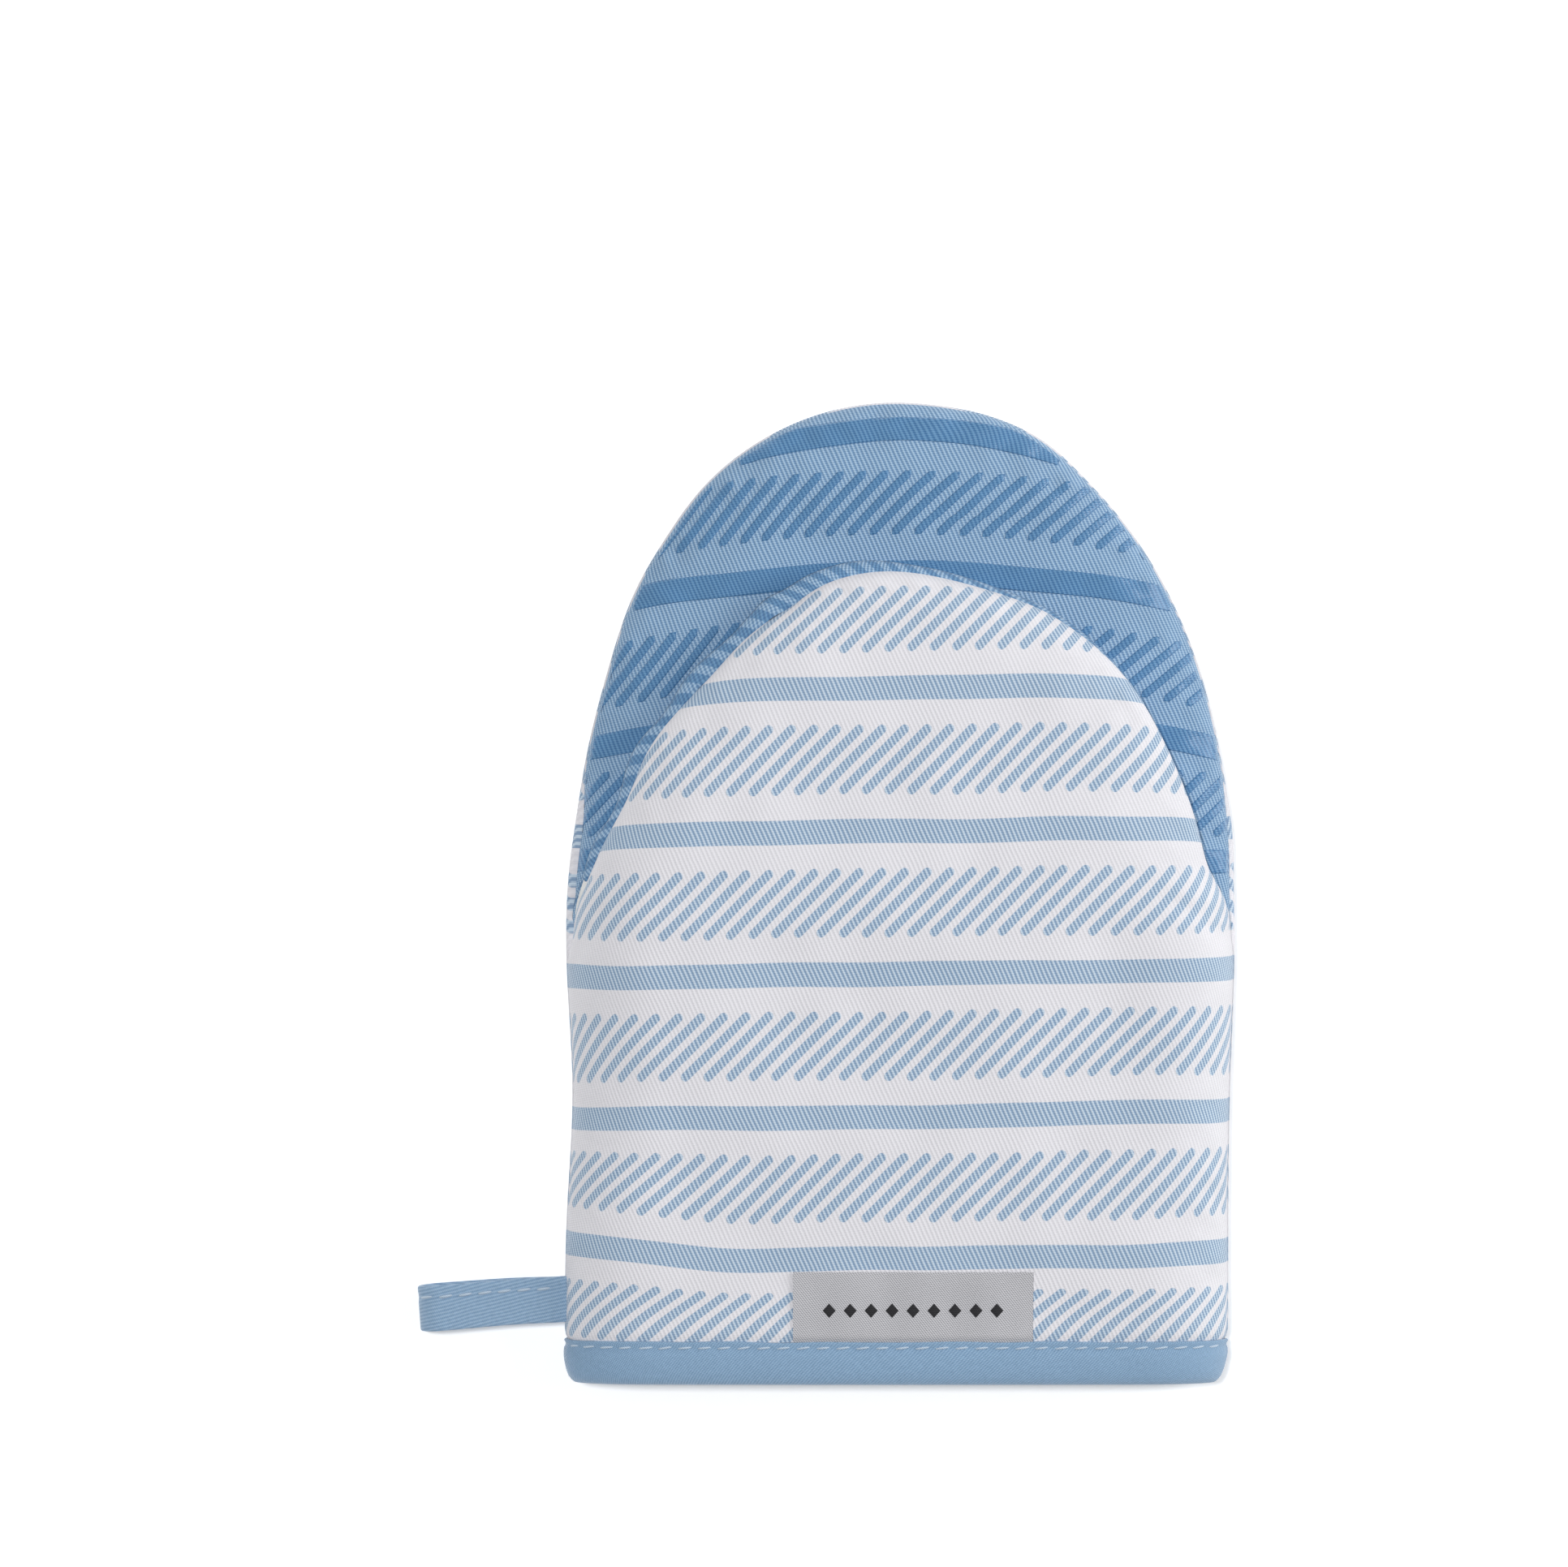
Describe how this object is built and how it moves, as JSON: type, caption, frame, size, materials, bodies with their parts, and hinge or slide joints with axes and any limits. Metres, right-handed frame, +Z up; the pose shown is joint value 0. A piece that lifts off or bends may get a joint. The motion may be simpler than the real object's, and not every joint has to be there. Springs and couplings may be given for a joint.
{
  "type": "oven mitt",
  "caption": "Small padded oven mitt with a finger pocket, a folding thumb pocket, silicone printed grip panels, a bound wrist edge and a hanging loop.",
  "frame": {"origin": "middle of the wrist edge, on the surface that the mitt's back lies on", "axes": "+X to the right seen from above, +Y from the wrist to the finger tip, +Z up, away from the back"},
  "size_m": [0.1681, 0.204, 0.0294],
  "materials": {
    "outer_twill": "white cotton twill, printed with blue stripes",
    "grip_twill": "light blue twill",
    "binding_twill": "light blue twill tape",
    "silicone_print": "glossy raised blue silicone",
    "lining_cotton": "plain off-white cotton",
    "wadding_fibre": "white polyester wadding",
    "stitch_thread": "light blue polyester thread",
    "label_satin": "grey woven satin"
  },
  "bodies": {
    "hand": {"back_shell": "outer_twill", "back_wadding": "wadding_fibre", "back_lining": "lining_cotton", "finger_grip_panel": "grip_twill", "finger_grip_wadding": "wadding_fibre", "finger_grip_lining": "lining_cotton", "finger_grip_print": "silicone_print", "cuff_front_shell": "outer_twill", "cuff_front_wadding": "wadding_fibre", "cuff_front_lining": "lining_cotton", "cuff_binding": "binding_twill", "cuff_stitching": "stitch_thread", "woven_label": "label_satin"},
    "thumb": {"thumb_shell": "outer_twill", "thumb_wadding": "wadding_fibre", "thumb_lining": "lining_cotton", "thumb_grip_panel": "grip_twill", "thumb_grip_wadding": "wadding_fibre", "thumb_grip_lining": "lining_cotton", "thumb_grip_print": "silicone_print"},
    "loop": {"hang_loop": "binding_twill", "loop_stitching": "stitch_thread"}
  },
  "joints": [
    {"name": "mouth_open", "type": "hinge", "parent": "hand", "child": "thumb", "pos_m": [0, 0.095, 0.01505], "axis": [1, 0, 0], "range_deg": [0, 75]},
    {"name": "loop_swing", "type": "hinge", "parent": "hand", "child": "loop", "pos_m": [-0.071, 0.017, 0.009], "axis": [-0.0698, 0.9976, 0], "range_deg": [0, 90]}
  ]
}
